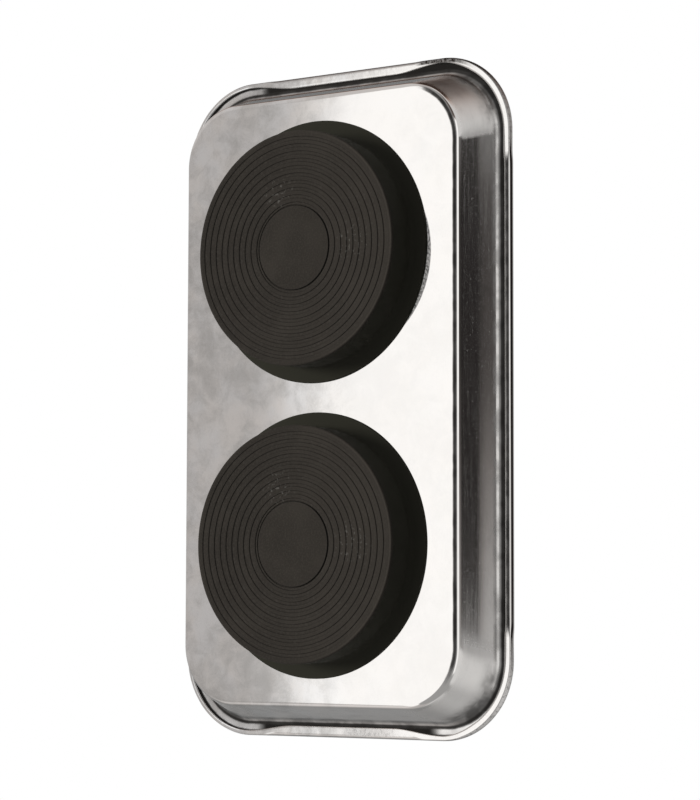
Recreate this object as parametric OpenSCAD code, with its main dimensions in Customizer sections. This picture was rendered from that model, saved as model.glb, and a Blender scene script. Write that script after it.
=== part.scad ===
// Magnetic parts tray: a pressed steel dish with a rolled rim, standing on two rubber-covered magnet bases.
// Each base is a ring magnet on a steel backing plate in a grooved rubber cover, held by one centre screw.
// Millimetres, +Z up. The origin lies midway between the bases, on the surface that they stand on.

/* [Tray] */
// Length over the rolled rim
tray_l = 240; // [225:1:320]
// Width over the rolled rim
tray_w = 140; // [132:1:220]
// Height from the underside of the floor to the top of the rim
tray_h = 19.6; // [14:0.2:30]
// Thickness of the pressed sheet
sheet_t = 0.7; // [0.5:0.1:1]
// Outside radius of the corners, seen from above
corner_r = 28; // [24:1:40]
// Lean of the walls away from upright, in degrees
wall_lean = 16.5; // [8:0.5:20]
// Outside radius of the bend between floor and wall
bend_r = 2; // [1.4:0.1:4]

/* [Rolled rim] */
// Width of the rim from the neck of the wall to the outer edge
rim_w = 3.65; // [3.6:0.05:7]
// Radius under the rim, where the wall turns outwards
neck_r = 3; // [1:0.1:3.4]
// Outside radius of the rolled edge
roll_r = 1.6; // [1.3:0.1:2]
// Reach of the turned-in lip past the roll's centre at the corners
corner_lip = 0.5; // [0.3:0.1:0.6]
// Reach of the turned-in lip on the long sides
long_lip = 0.7; // [0.6:0.1:2]
// Reach of the turned-in lip on the short sides
short_lip = 2.3; // [0.6:0.1:2.8]
// Length over which a lip widens beside a corner
lip_taper = 16; // [8:1:24]

/* [Magnets] */
// Outside diameter of the ring magnet and of its backing plate
magnet_d = 76; // [60:0.5:90]
// Bore of the ring magnet
magnet_bore = 32; // [24:0.5:40]
// Thickness of the ring magnet
magnet_t = 9.3; // [9:0.1:14]
// Chamfer on the ring magnet's edges
magnet_chamfer = 0.5; // [0.2:0.1:1]
// Thickness of the steel backing plate
plate_t = 1.5; // [1:0.1:2.5]
// Gap between magnet and rubber all round
magnet_clearance = 0.3; // [0.1:0.1:0.6]

/* [Rubber covers] */
// Gap between the flanges of the two covers
base_gap = 10.4; // [4:0.2:24]
// Thickness of the side wall round the magnet, at the gripping face
cover_wall = 3.4; // [2.4:0.1:5]
// Reach of the flange past the gripping face
flange_reach = 5.1; // [4:0.1:8]
// Thickness of the gripping face
face_t = 2.4; // [1.8:0.1:4]
// Radius round the edge of the gripping face
face_edge_r = 0.8; // [0.3:0.1:1]
// How far the side draws in from the face to the flange
side_draft = 0.5; // [0:0.1:0.8]
// Fillet between the side and the flange
flange_fillet = 2; // [1:0.1:2.4]
// Thickness of the flange at its root
flange_root_t = 1.8; // [1.2:0.1:2.4]
// Thickness of the flange at its edge
flange_edge_t = 1.5; // [0.5:0.1:2]
// Thickness of the lip clamped between backing plate and tray
lip_t = 1.2; // [0.8:0.1:2]
// Reach of that lip in over the edge of the backing plate
lip_reach = 6; // [3:0.5:12]

/* [Grip grooves] */
// Radius along the middle of the smallest ring groove
groove_first_r = 15.5; // [10:0.1:16]
// Distance from one groove to the next
groove_pitch = 2.58; // [1.8:0.01:4]
// Least flat land outside the largest groove
groove_margin = 1.4; // [0.6:0.1:6]
// Width of a groove at the face
groove_w = 1.2; // [0.4:0.05:1.4]
// Depth of a groove
groove_depth = 0.3; // [0.2:0.05:1]

/* [Fasteners] */
// Diameter of the centre screw
screw_d = 5; // [4:0.5:5]
// Diameter of the screw's low domed head
screw_head_d = 11.4; // [9:0.2:13]
// Height of the screw head
screw_head_h = 2.4; // [1.8:0.1:3]
// Upright edge under the head's dome
screw_head_edge = 0.5; // [0.3:0.1:0.8]
// Span of the cross recess
recess_span = 4.8; // [3.6:0.1:6]
// Width of each slot of the cross recess
recess_w = 1.1; // [0.8:0.1:1.4]
// Depth of the cross recess
recess_depth = 1.5; // [1:0.1:1.7]
// Length of thread standing out of the nut
screw_end = 1.3; // [0.6:0.1:1.6]
// Chamfer on the end of the screw
screw_tip = 0.6; // [0.3:0.1:0.9]
// Gap between the screw and each hole that it passes through
screw_clearance = 0.1; // [0.05:0.01:0.1]
// Flat diameter of the floor's dimple round the screw
dimple_d = 15; // [14:0.5:18]
// Outside diameter of the flat washer
washer_d = 10; // [9:0.5:14]
// Thickness of the flat washer
washer_t = 1; // [0.6:0.1:1.6]
// Outside diameter of the split lock washer
lock_d = 9.2; // [8:0.1:10]
// Thickness of the split lock washer
lock_t = 1.2; // [0.8:0.1:1.4]
// Gap of the split
lock_gap = 0.8; // [0.4:0.1:1.2]
// Size of the hexagon nut across its flats
nut_flats = 8; // [7:0.5:10]
// Thickness of the hexagon nut
nut_t = 4; // [3:0.1:4]

/* [Hidden] */
$fn = 96;
// Straight pieces in each rounded stretch of a section
arc_steps = 8;
// Cuts run past the faces that they open by this much
overrun = 1;
// Slope of the dimple's side and of the nut's corner chamfer, in degrees
dimple_slope = 45;
nut_chamfer_slope = 30;
// Sides of the hexagon nut
nut_sides = 6;
// A groove's flat bottom as a share of its width
groove_bottom_share = 0.85;

// Heights in the stack, from the surface up
magnet_z = face_t;
plate_z = magnet_z + magnet_t;
seat_z = plate_z + plate_t;
floor_z = seat_z + lip_t;

// The screw stack, from its seat in the dimple down
head_seat_z = seat_z + sheet_t;
washer_z = plate_z - washer_t;
lock_z = washer_z - lock_t;
nut_z = lock_z - nut_t;
screw_end_z = nut_z - screw_end;
screw_r = screw_d / 2;
hole_r = screw_r + screw_clearance;

// Centres of the tray's corners, and its section outwards from there
corner_x = tray_l / 2 - corner_r;
corner_y = tray_w / 2 - corner_r;
neck_x = corner_r - rim_w;
rim_under_z = tray_h - sheet_t;
neck_z = rim_under_z - neck_r;
wall_low_z = bend_r - bend_r * sin(wall_lean);
wall_high_z = neck_z + neck_r * sin(wall_lean);
wall_run = (wall_high_z - wall_low_z) * tan(wall_lean);
floor_r = neck_x - (neck_r + bend_r) * cos(wall_lean) - wall_run;
roll_x = corner_r - roll_r;
roll_z = tray_h - roll_r;

// Rubber cover
pocket_r = magnet_d / 2 + magnet_clearance;
face_r = pocket_r + cover_wall;
flange_r = face_r + flange_reach;
side_r = face_r - side_draft;
lip_r = magnet_d / 2 - lip_reach;
base_spacing = 2 * flange_r + base_gap;
groove_room = face_r - face_edge_r - groove_margin - groove_w / 2 - groove_first_r;
groove_count = 1 + floor(groove_room / groove_pitch);
flange_under_z = floor_z - flange_root_t;

// Dimple: the sheet keeps its thickness on the slope
dimple_r = dimple_d / 2;
dimple_run = lip_t / tan(dimple_slope);
dimple_shift = sheet_t * tan(dimple_slope / 2);

// Points of an arc, from one angle to another
function arc(centre, radius, from, to) =
    [for (i = [0 : arc_steps]) let (a = from + (to - from) * i / arc_steps)
        centre + radius * [cos(a), sin(a)]];

// The pressed sheet from a corner's centre out to the rolled lip
module pan_section(lip) {
    bend = [floor_r, bend_r];
    neck = [neck_x, neck_z];
    roll = [roll_x, roll_z];
    polygon(concat(
        [[0, 0]],
        arc(bend, bend_r, -90, -wall_lean),
        arc(neck, neck_r, 180 - wall_lean, 90),
        arc(roll, roll_r - sheet_t, 90, -90),
        [[roll_x - lip, roll_z - roll_r + sheet_t], [roll_x - lip, roll_z - roll_r]],
        arc(roll, roll_r, -90, 90),
        arc(neck, neck_r + sheet_t, 90, 180 - wall_lean),
        arc(bend, bend_r - sheet_t, -wall_lean, -90),
        [[0, sheet_t]]));
}

// One straight side, laid along Y and facing +X, with a lip that widens away from the corners
module straight_side(half_length, lip) {
    rotate([90, 0, 0]) linear_extrude(2 * half_length, center = true) pan_section(corner_lip);
    translate([roll_x, 0, roll_z - roll_r]) linear_extrude(sheet_t)
        polygon([[0, -half_length], [0, half_length], [-corner_lip, half_length],
                 [-lip, half_length - lip_taper], [-lip, lip_taper - half_length],
                 [-corner_lip, -half_length]]);
}

// Walls, rim and the outer part of the floor
module pan_border() {
    for (turn = [0, 180]) rotate(turn) {
        translate([corner_x, 0, 0]) straight_side(corner_y, short_lip);
        rotate(90) translate([corner_y, 0, 0]) straight_side(corner_x, long_lip);
        translate([corner_x, corner_y, 0]) rotate_extrude(angle = 90) pan_section(corner_lip);
        mirror([0, 1, 0]) translate([corner_x, corner_y, 0])
            rotate_extrude(angle = 90) pan_section(corner_lip);
    }
}

// The dimple's outside, which stands below the floor on the backing plate
module dimple_boss() {
    rotate_extrude() polygon([[0, -lip_t], [dimple_r, -lip_t], [dimple_r + dimple_run, 0],
                              [dimple_r + dimple_run, sheet_t], [0, sheet_t]]);
}

// The dimple's hollow, which takes the screw head
module dimple_hollow() {
    inner_r = dimple_r - dimple_shift;
    rotate_extrude() polygon([[0, sheet_t - lip_t], [inner_r, sheet_t - lip_t],
                              [inner_r + dimple_run, sheet_t],
                              [inner_r + dimple_run, sheet_t + overrun], [0, sheet_t + overrun]]);
}

module tray_pan() {
    color("silver") translate([0, 0, floor_z]) difference() {
        union() {
            pan_border();
            translate([-corner_x, -corner_y, 0]) cube([2 * corner_x, 2 * corner_y, sheet_t]);
            at_bases() dimple_boss();
        }
        at_bases() {
            dimple_hollow();
            translate([0, 0, -lip_t - overrun]) cylinder(h = lip_t + sheet_t + 2 * overrun, r = hole_r);
        }
    }
}

// Places its children at both bases
module at_bases() {
    for (side = [-1, 1]) at_base(side) children();
}

module at_base(side) {
    translate([side * base_spacing / 2, 0, 0]) children();
}

// The points of one groove across the face, from the middle outwards
function groove(radius) = let (bottom_w = groove_w * groove_bottom_share)
    [[radius - groove_w / 2, 0], [radius - bottom_w / 2, groove_depth],
     [radius + bottom_w / 2, groove_depth], [radius + groove_w / 2, 0]];

module rubber_cover() {
    ring_points = [for (i = [0 : groove_count - 1])
        each groove(groove_first_r + i * groove_pitch)];
    color([0.16, 0.155, 0.15]) rotate_extrude() polygon(concat(
        [[0, 0]],
        ring_points,
        arc([face_r - face_edge_r, face_edge_r], face_edge_r, -90, 0),
        arc([side_r + flange_fillet, flange_under_z - flange_fillet], flange_fillet, 180, 90),
        [[flange_r, floor_z - flange_edge_t], [flange_r, floor_z], [lip_r, floor_z],
         [lip_r, seat_z], [pocket_r, seat_z], [pocket_r, magnet_z], [0, magnet_z]]));
}

module backing_plate() {
    color("lightgray") translate([0, 0, plate_z]) difference() {
        cylinder(h = plate_t, d = magnet_d);
        translate([0, 0, -overrun]) cylinder(h = plate_t + 2 * overrun, r = hole_r);
    }
}

module ring_magnet() {
    outer = magnet_d / 2;
    inner = magnet_bore / 2;
    c = magnet_chamfer;
    color("dimgray") translate([0, 0, magnet_z]) rotate_extrude()
        polygon([[inner + c, 0], [outer - c, 0], [outer, c], [outer, magnet_t - c],
                 [outer - c, magnet_t], [inner + c, magnet_t], [inner, magnet_t - c], [inner, c]]);
}

// Low domed screw: the head's dome is part of a ball that meets the upright edge of the head
module clamp_screw() {
    head_r = screw_head_d / 2;
    dome_h = screw_head_h - screw_head_edge;
    ball_r = (head_r * head_r + dome_h * dome_h) / (2 * dome_h);
    color("gainsboro") difference() {
        union() {
            translate([0, 0, head_seat_z]) intersection() {
                cylinder(h = screw_head_h, r = head_r);
                translate([0, 0, screw_head_h - ball_r]) sphere(r = ball_r);
            }
            translate([0, 0, screw_end_z + screw_tip])
                cylinder(h = head_seat_z - screw_end_z - screw_tip + screw_head_edge, r = screw_r);
            translate([0, 0, screw_end_z]) cylinder(h = screw_tip, r1 = screw_r - screw_tip, r2 = screw_r);
        }
        for (turn = [0, 90]) rotate(turn)
            translate([-recess_span / 2, -recess_w / 2, head_seat_z + screw_head_h - recess_depth])
                cube([recess_span, recess_w, recess_depth + overrun]);
    }
}

// A plain ring round the screw, from a height up
module screw_ring(z, thickness, outer_r) {
    translate([0, 0, z]) difference() {
        cylinder(h = thickness, r = outer_r);
        translate([0, 0, -overrun]) cylinder(h = thickness + 2 * overrun, r = hole_r);
    }
}

module flat_washer() {
    color("lightgray") screw_ring(washer_z, washer_t, washer_d / 2);
}

module lock_washer() {
    color("darkgray") difference() {
        screw_ring(lock_z, lock_t, lock_d / 2);
        translate([0, -lock_gap / 2, lock_z - overrun]) cube([lock_d, lock_gap, lock_t + 2 * overrun]);
    }
}

// Hexagon nut: cones that start at the flats take the corners off both ends
module hex_nut() {
    corner = nut_flats / 2 / cos(180 / nut_sides);
    drop = (corner - nut_flats / 2) * tan(nut_chamfer_slope);
    color("lightgray") intersection() {
        translate([0, 0, nut_z]) difference() {
            cylinder(h = nut_t, r = corner, $fn = nut_sides);
            translate([0, 0, -overrun]) cylinder(h = nut_t + 2 * overrun, r = hole_r);
        }
        translate([0, 0, nut_z]) rotate_extrude()
            polygon([[0, 0], [nut_flats / 2, 0], [corner, drop], [corner, nut_t - drop],
                     [nut_flats / 2, nut_t], [0, nut_t]]);
    }
}

tray_pan();
at_base(-1) rubber_cover();  // left_rubber_cover
at_base(1) rubber_cover();  // right_rubber_cover
at_base(-1) backing_plate();  // left_backing_plate
at_base(1) backing_plate();  // right_backing_plate
at_base(-1) ring_magnet();  // left_ring_magnet
at_base(1) ring_magnet();  // right_ring_magnet
at_base(-1) clamp_screw();  // left_clamp_screw
at_base(1) clamp_screw();  // right_clamp_screw
at_base(-1) flat_washer();  // left_flat_washer
at_base(1) flat_washer();  // right_flat_washer
at_base(-1) lock_washer();  // left_lock_washer
at_base(1) lock_washer();  // right_lock_washer
at_base(-1) hex_nut();  // left_hex_nut
at_base(1) hex_nut();  // right_hex_nut
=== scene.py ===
import math
from collections import namedtuple

import bmesh
import bpy
from bpy.props import FloatProperty, FloatVectorProperty, IntProperty, PointerProperty
from mathutils import Matrix, Vector
from mathutils.geometry import delaunay_2d_cdt


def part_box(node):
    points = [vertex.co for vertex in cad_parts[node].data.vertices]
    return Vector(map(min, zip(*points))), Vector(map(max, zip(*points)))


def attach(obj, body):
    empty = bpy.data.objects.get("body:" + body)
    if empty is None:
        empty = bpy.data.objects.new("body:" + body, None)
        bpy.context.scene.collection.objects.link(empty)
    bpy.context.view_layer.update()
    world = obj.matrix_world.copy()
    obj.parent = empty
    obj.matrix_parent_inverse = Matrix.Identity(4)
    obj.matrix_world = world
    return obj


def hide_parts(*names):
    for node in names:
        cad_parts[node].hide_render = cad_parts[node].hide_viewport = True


bl_info = {
    "name": "Magnetic Parts Tray",
    "version": (1, 0, 0),
    "blender": (4, 5, 0),
    "location": "View3D > Sidebar > Parts Tray",
    "description": "Builds a pressed steel parts tray on two magnet bases, and its studio",
    "category": "Add Mesh",
}

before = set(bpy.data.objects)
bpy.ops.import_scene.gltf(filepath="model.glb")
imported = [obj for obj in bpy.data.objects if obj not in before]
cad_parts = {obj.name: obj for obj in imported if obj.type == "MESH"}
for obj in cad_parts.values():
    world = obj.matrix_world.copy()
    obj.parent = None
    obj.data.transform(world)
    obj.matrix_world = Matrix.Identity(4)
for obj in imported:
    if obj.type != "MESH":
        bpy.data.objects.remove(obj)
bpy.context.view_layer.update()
PAN_LOW, PAN_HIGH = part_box("tray_pan")
COVER_LOW, COVER_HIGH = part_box("right_rubber_cover")
SCREW_LOW, SCREW_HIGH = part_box("right_clamp_screw")
COVER_PLACE = (COVER_LOW.x + COVER_HIGH.x) / 2.0
COVER_REACH = (COVER_HIGH.x - COVER_LOW.x) / 2.0
SCREW_PLACE = (SCREW_LOW.x + SCREW_HIGH.x) / 2.0

MM = 0.001
WELD = 1e-6
SIDES = (("left", -1.0), ("right", 1.0))
SMOOTH_ANGLE = math.radians(38.0)


# Properties


def length(name, description, default):
    """A size in metres."""
    return FloatProperty(
        name=name, description=description, default=default, unit="LENGTH", precision=5
    )


def turn(name, description, degrees):
    """An angle, given in degrees."""
    return FloatProperty(
        name=name, description=description, default=math.radians(degrees), unit="ROTATION"
    )


def share(name, description, default):
    """A plain factor from 0 to 1."""
    return FloatProperty(
        name=name, description=description, default=default, min=0.0, max=1.0, subtype="FACTOR"
    )


def colour(name, description, default):
    """A linear colour."""
    return FloatVectorProperty(
        name=name, description=description, default=default,
        size=3, min=0.0, max=1.0, subtype="COLOR",
    )


def triple(name, description, default, unit="NONE"):
    """A place or a direction."""
    return FloatVectorProperty(
        name=name, description=description, default=default, size=3, subtype="XYZ", unit=unit
    )


def lamp_level(name, description, default):
    """The strength of a lamp."""
    return FloatProperty(name=name, description=description, default=default, min=0.0)


class PanSizes(bpy.types.PropertyGroup):
    """The pressed steel tray."""

    length: length("Length", "Outside length over the rolled rim", PAN_HIGH.x - PAN_LOW.x)
    width: length("Width", "Outside width over the rolled rim", PAN_HIGH.y - PAN_LOW.y)
    rim_top: length("Rim top", "Height of the rim's top above the ground", PAN_HIGH.z)
    floor_under: length("Floor underside", "Height of the floor's underside", COVER_HIGH.z)
    sheet: length("Sheet", "Thickness of the steel sheet", 0.7 * MM)
    corner_radius: length("Corner radius", "Outside radius of the rim's corners", 28.0 * MM)
    wall_lean: turn("Wall lean", "Mean lean of the walls from upright", 16.5)
    wall_break: turn("Wall break", "How much each half of a wall leans from the mean", 1.5)
    wall_curl: turn("Wall curl", "How much the upper half turns to either side of its lean", 1.7)
    bend_radius: length("Floor bend", "Outside radius of the bend from floor to wall", 2.0 * MM)
    rim_width: length("Rim width", "From the rim's outer edge to the neck's centre", 3.65 * MM)
    neck_radius: length("Neck bend", "Radius of the bend from wall to rim", 3.0 * MM)
    roll_radius: length("Roll radius", "Half the depth of the rolled edge", 1.6 * MM)
    fold_radius: length("Fold radius", "Outside radius of the fold under the skirt", 1.26 * MM)
    corner_fold: length("Corner fold", "The same in the corners, pressed square", 0.42 * MM)
    satin_end: length("Satin end", "How far the corners' satin goes on along the walls", 8.0 * MM)
    flat_end: length("Flat end", "How far the square hem goes on beside a corner", 7.0 * MM)
    skirt: length("Skirt", "Straight run of the rolled edge between its two rounds", 0.75 * MM)
    skirt_lean: turn("Skirt lean", "Lean of that straight run from upright", 14.0)
    short_lip: length("Lip on the short sides", "Reach of the lip in from the roll", 2.3 * MM)
    long_lip: length("Lip on the long sides", "Reach of the lip in from the roll", 0.7 * MM)
    corner_lip: length("Lip in the corners", "Reach of the lip in from the roll", 0.2 * MM)
    turned_lip: length("Lip end", "The same at the ends of the far long side", 1.1 * MM)
    lip_taper: length("Lip taper", "Length over which a short side's lip narrows", 20.0 * MM)
    turn_taper: length("Lip turn", "Length over which the square hem turns round", 5.0 * MM)
    corner_ease: length("Corner ease", "Extra radius of the floor's corners", 5.0 * MM)
    crimp_height: length("Crimp height", "Depth of the wrinkles in the hem", 0.09 * MM)
    crimp_pitch: length("Crimp pitch", "Distance between the wrinkles of the hem", 1.9 * MM)
    dimple_radius: length("Dimple radius", "Radius of the flat under each screw", 7.5 * MM)
    dimple_depth: length("Dimple depth", "Depth of a screw dimple", COVER_HIGH.z - PAN_LOW.z)
    hole_radius: length("Screw hole", "Radius of the holes for the screws", 2.6 * MM)


class CoverSizes(bpy.types.PropertyGroup):
    """The two grooved rubber covers of the magnets."""

    place: length("Place", "Distance of a base's centre from the middle", COVER_PLACE)
    height: length("Height", "Height of the cover", COVER_HIGH.z)
    flange_radius: length("Flange radius", "Outside radius of the flange", COVER_REACH)
    face_radius: length("Face radius", "Radius of the face that stands on the ground", 41.7 * MM)
    face_edge: length("Face edge", "Radius of the round at the face's edge", 0.8 * MM)
    side_draft: length("Side draft", "How far the side goes in from face to flange", 0.5 * MM)
    fillet: length("Flange fillet", "Radius between the side and the flange", 2.0 * MM)
    flange_root: length("Flange root", "Thickness of the flange at the side", 1.8 * MM)
    flange_rim: length("Flange rim", "Thickness of the flange at its edge", 1.5 * MM)
    lip_depth: length("Lip depth", "Thickness of the lip over the backing plate", 1.2 * MM)
    lip_radius: length("Lip radius", "Radius of the opening in the lip", 32.0 * MM)
    pocket_radius: length("Pocket radius", "Radius of the pocket for the magnet", 38.3 * MM)
    face_depth: length("Face depth", "Thickness of rubber under the magnet", 2.4 * MM)
    groove_first: length("First groove", "Radius of the innermost groove's middle", 15.5 * MM)
    groove_pitch: length("Groove pitch", "Distance from groove to groove", 2.58 * MM)
    groove_count: IntProperty(name="Grooves", description="Number of grooves", default=10, min=1)
    groove_width: length("Groove width", "Width of a groove at the face", 1.2 * MM)
    groove_depth: length("Groove depth", "Depth of a groove", 0.2 * MM)
    slit_width: length("Slit width", "Width of the slit round the middle disc", 0.35 * MM)
    slit_depth: length("Slit depth", "How far that slit goes below the first groove", 0.3 * MM)
    segments: IntProperty(name="Segments", description="Facets of a cover", default=240, min=24)


class ScrewSizes(bpy.types.PropertyGroup):
    """The two clamp screws in the dish."""

    place: length("Place", "Distance of a screw from the middle", SCREW_PLACE)
    head_radius: length("Head radius", "Radius of the low domed head", 5.7 * MM)
    head_top: length("Head top", "Height of the head's top above the ground", SCREW_HIGH.z)
    head_depth: length("Head depth", "Thickness of the head", 2.4 * MM)
    head_edge: length("Head edge", "Thickness of the head at its rim", 0.5 * MM)
    shank_radius: length("Shank radius", "Radius of the shank", 2.5 * MM)
    tip: length("Tip height", "Height of the shank's end above the ground", SCREW_LOW.z)
    tip_cone: length("Tip cone", "Depth of the chamfer at the shank's end", 0.6 * MM)
    recess_span: length("Recess span", "Width of the cross recess over two arms", 4.8 * MM)
    recess_width: length("Recess arm", "Width of one arm of the cross", 1.1 * MM)
    recess_depth: length("Recess depth", "Depth of the cross recess", 1.5 * MM)


class Finishes(bpy.types.PropertyGroup):
    """The colours of the materials."""

    steel: colour("Stainless steel", "Polished stainless sheet", (0.80, 0.788, 0.766))
    steel_roughness: share("Steel roughness", "Roughness of the polished sheet", 0.055)
    # Painted shade with some soiling under the rim, and painted dark reflections on the floor's
    # bend and the hem's fold
    grime: colour("Grime", "Dark dirt in the folds under the rim", (0.030, 0.028, 0.026))
    # Brown film on the rim's outer edge, partly a painted dark reflection; also the painted dark
    # reflection under one corner
    tarnish_and_reflection: colour("Tarnish", "Brown film on the rim's outer edge", (0.06, 0.045, 0.038))
    rubber: colour("Rubber", "Black moulded rubber", (0.034, 0.0295, 0.0245))
    dust: colour("Dust", "Pale dust caught in the grooves", (0.24, 0.23, 0.21))
    zinc: colour("Zinc", "Zinc plate on the inner pieces", (0.58, 0.59, 0.6))
    ferrite: colour("Ferrite", "Sintered ferrite of the magnets", (0.055, 0.055, 0.058))
    plating: colour("Plating", "Bright plating on the screws", (0.7, 0.69, 0.67))
    floor: colour("Floor", "Pale studio floor", (0.86, 0.86, 0.86))


class StudioSettings(bpy.types.PropertyGroup):
    """The camera and the light."""

    camera_place: triple(
        "Camera", "Where the camera stands", (-0.0785, 0.5506, -0.7632), "LENGTH"
    )
    camera_target: triple(
        "Target", "The point in the middle of the picture", (-0.00165, 0.01644, 0.01135), "LENGTH"
    )
    camera_roll: turn("Camera roll", "Turn of the camera about its line of sight", 0.132)
    focal_length: FloatProperty(
        name="Focal length", description="Focal length of the lens", default=121.66, unit="CAMERA"
    )
    ambient: share("Soft light", "Level of the soft light all round", 0.42)
    ambient_side: share("Side falloff", "How much darker the far side's soft light is", 0.9)
    low_lamp: lamp_level("Low lamp", "Strength of the lamp below the tray", 2.7)
    low_lamp_toward: triple(
        "Low lamp direction", "Direction from the tray to the low lamp", (0.12, -0.74, -0.66)
    )
    high_lamp: lamp_level("High lamp", "Strength of the lamp above the tray", 1.9)
    high_lamp_toward: triple(
        "High lamp direction", "Direction from the tray to the high lamp", (-0.3, -0.5, 0.81)
    )
    lamp_spread: turn("Lamp spread", "Width of a lamp as the tray sees it", 18.0)
    floor_size: length("Floor size", "Width of the studio floor", 6.0)
    floor_drop: length("Floor drop", "How far the floor lies under the part", 0.3 * MM)


class PartsTray(bpy.types.PropertyGroup):
    """All that a user would change."""

    pan: PointerProperty(type=PanSizes)
    cover: PointerProperty(type=CoverSizes)
    screw: PointerProperty(type=ScrewSizes)
    finish: PointerProperty(type=Finishes)
    studio: PointerProperty(type=StudioSettings)


# Node trees written as expressions


class Flow:
    """A socket that takes part in Python expressions; each operation adds a Math node."""

    def __init__(self, bench, socket):
        self.bench = bench
        self.socket = socket

    def out(self, name):
        """Another output of the same node."""
        return Flow(self.bench, self.socket.node.outputs[name])

    def math(self, operation, *others):
        """A Math node on this value and others."""
        values = dict(enumerate((self,) + others))
        return self.bench.add("ShaderNodeMath", {"operation": operation}, values)

    def between(self, low, high):
        """0 below low and 1 above high, with a smooth rise."""
        inputs = {"Value": self, "From Min": low, "From Max": high}
        return self.bench.add("ShaderNodeMapRange", {"interpolation_type": "SMOOTHSTEP"}, inputs)

    def toward(self, other, mask):
        """This value where the mask is 0, the other where it is 1."""
        return self + (other - self) * mask

    def _reversed(self, operation, other):
        return self.bench.add("ShaderNodeMath", {"operation": operation}, {0: other, 1: self})

    def __add__(self, other):
        return self.math("ADD", other)

    def __radd__(self, other):
        return self._reversed("ADD", other)

    def __sub__(self, other):
        return self.math("SUBTRACT", other)

    def __rsub__(self, other):
        return self._reversed("SUBTRACT", other)

    def __mul__(self, other):
        return self.math("MULTIPLY", other)

    def __rmul__(self, other):
        return self._reversed("MULTIPLY", other)

    def __truediv__(self, other):
        return self.math("DIVIDE", other)

    def __rtruediv__(self, other):
        return self._reversed("DIVIDE", other)

    def __neg__(self):
        return self.math("MULTIPLY", -1.0)

    def __abs__(self):
        return self.math("ABSOLUTE")


class Bench:
    """Adds nodes to one tree."""

    def __init__(self, tree):
        self.tree = tree

    def add(self, kind, settings=None, inputs=None, out=0):
        """A node of a kind: its settings first, then the values or links of its sockets."""
        node = self.tree.nodes.new(kind)
        for name, value in (settings or {}).items():
            setattr(node, name, value)
        for name, value in (inputs or {}).items():
            if isinstance(value, Flow):
                self.tree.links.new(value.socket, node.inputs[name])
            else:
                node.inputs[name].default_value = value
        return Flow(self, node.outputs[out]) if len(node.outputs) else node

    def vector(self, operation, *values):
        """A Vector Math node."""
        out = "Value" if operation in ("LENGTH", "DISTANCE") else "Vector"
        settings = {"operation": operation}
        return self.add("ShaderNodeVectorMath", settings, dict(enumerate(values)), out)

    def split(self, vector):
        """The three parts of a vector."""
        x = self.add("ShaderNodeSeparateXYZ", None, {"Vector": vector})
        return x, x.out("Y"), x.out("Z")

    def join(self, x=0.0, y=0.0, z=0.0):
        """A vector of three values."""
        return self.add("ShaderNodeCombineXYZ", None, {"X": x, "Y": y, "Z": z})

    def blend(self, first, second, mask):
        """One colour where the mask is 0, the other where it is 1."""
        settings = {"data_type": "RGBA", "clamp_factor": True}
        return self.add("ShaderNodeMix", settings, {0: mask, 6: first, 7: second}, 2)

    def layered(self, base, *films):
        """A colour with films over it, each of them a colour and its mask."""
        for film, mask in films:
            base = self.blend(base, film, mask)
        return base

    def noise(self, vector, scale, detail=2.0, roughness=0.5, distortion=0.0):
        """Smooth noise around 0.5."""
        inputs = {
            "Vector": vector, "Scale": scale, "Detail": detail,
            "Roughness": roughness, "Distortion": distortion,
        }
        return self.add("ShaderNodeTexNoise", None, inputs)

    def bump(self, height, strength=1.0):
        """A normal bent by a height in metres."""
        inputs = {"Strength": strength, "Distance": 1.0, "Height": height}
        return self.add("ShaderNodeBump", None, inputs)

    def attribute(self, name, out="Fac"):
        """A value kept on the mesh."""
        return self.add("ShaderNodeAttribute", {"attribute_name": name}, None, out)

    def place(self):
        """The point on the object, in metres."""
        return self.add("ShaderNodeTexCoord", None, None, "Object")


def rgba(values):
    """A colour socket's value."""
    return (values[0], values[1], values[2], 1.0)


def shade(values, *factors):
    """The same, made lighter or darker by one factor or by one for each channel."""
    if len(factors) == 1:
        factors = factors * 3
    return rgba([value * factor for value, factor in zip(values, factors)])


def new_material(name):
    """An empty material with a shader, and the bench to fill it."""
    material = bpy.data.materials.new(name)
    material.use_nodes = True
    material.node_tree.nodes.clear()
    bench = Bench(material.node_tree)
    shader = bench.add("ShaderNodeBsdfPrincipled")
    bench.add("ShaderNodeOutputMaterial", None, {"Surface": shader})
    return material, bench, shader.socket.node


def wire(bench, shader, **values):
    """Sets or links sockets of a shader, named with underscores."""
    for name, value in values.items():
        socket = shader.inputs[name.replace("_", " ").title().replace("Ior", "IOR")]
        if isinstance(value, Flow):
            bench.tree.links.new(value.socket, socket)
        else:
            socket.default_value = value


# Materials


# What the sheet's meshes keep on their points: the run round the rim, the rise along the section,
# and from 0 to 1 the wall, its satin, the crushed hem, painted shade with some soiling (on the bend
# and fold, painted dark reflections), and the tarnished outer edge, partly a painted dark
# reflection
SHEET_VALUES = ("run", "rise", "wall", "drawn", "crush", "grime", "edge")

CoverReflection = namedtuple("CoverReflection", "x y radius soft begins top")
# A painted dark reflection of one cover's edge, as a crescent under the floor beside it: the
# centre, radius and soft edge of its outer line, where it begins across the tray, and the heights
# over which it ends, in metres
COVER_REFLECTION = CoverReflection(0.0494, 0.0123, 0.036, 0.0004, (0.036, 0.039), (0.0146, 0.0149))

CornerReflection = namedtuple("CornerReflection", "x y radius soft begins ends top")
# A painted dark reflection under one corner of the rim: the centre, radius and soft edge of its
# inner line, where it begins and ends across the tray, and the heights over which it ends, in
# metres
CORNER_REFLECTION = CornerReflection(0.092, 0.042, 0.0259, 0.0006, (0.030, 0.034), (0.047, 0.057), (0.0313, 0.0320))

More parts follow.
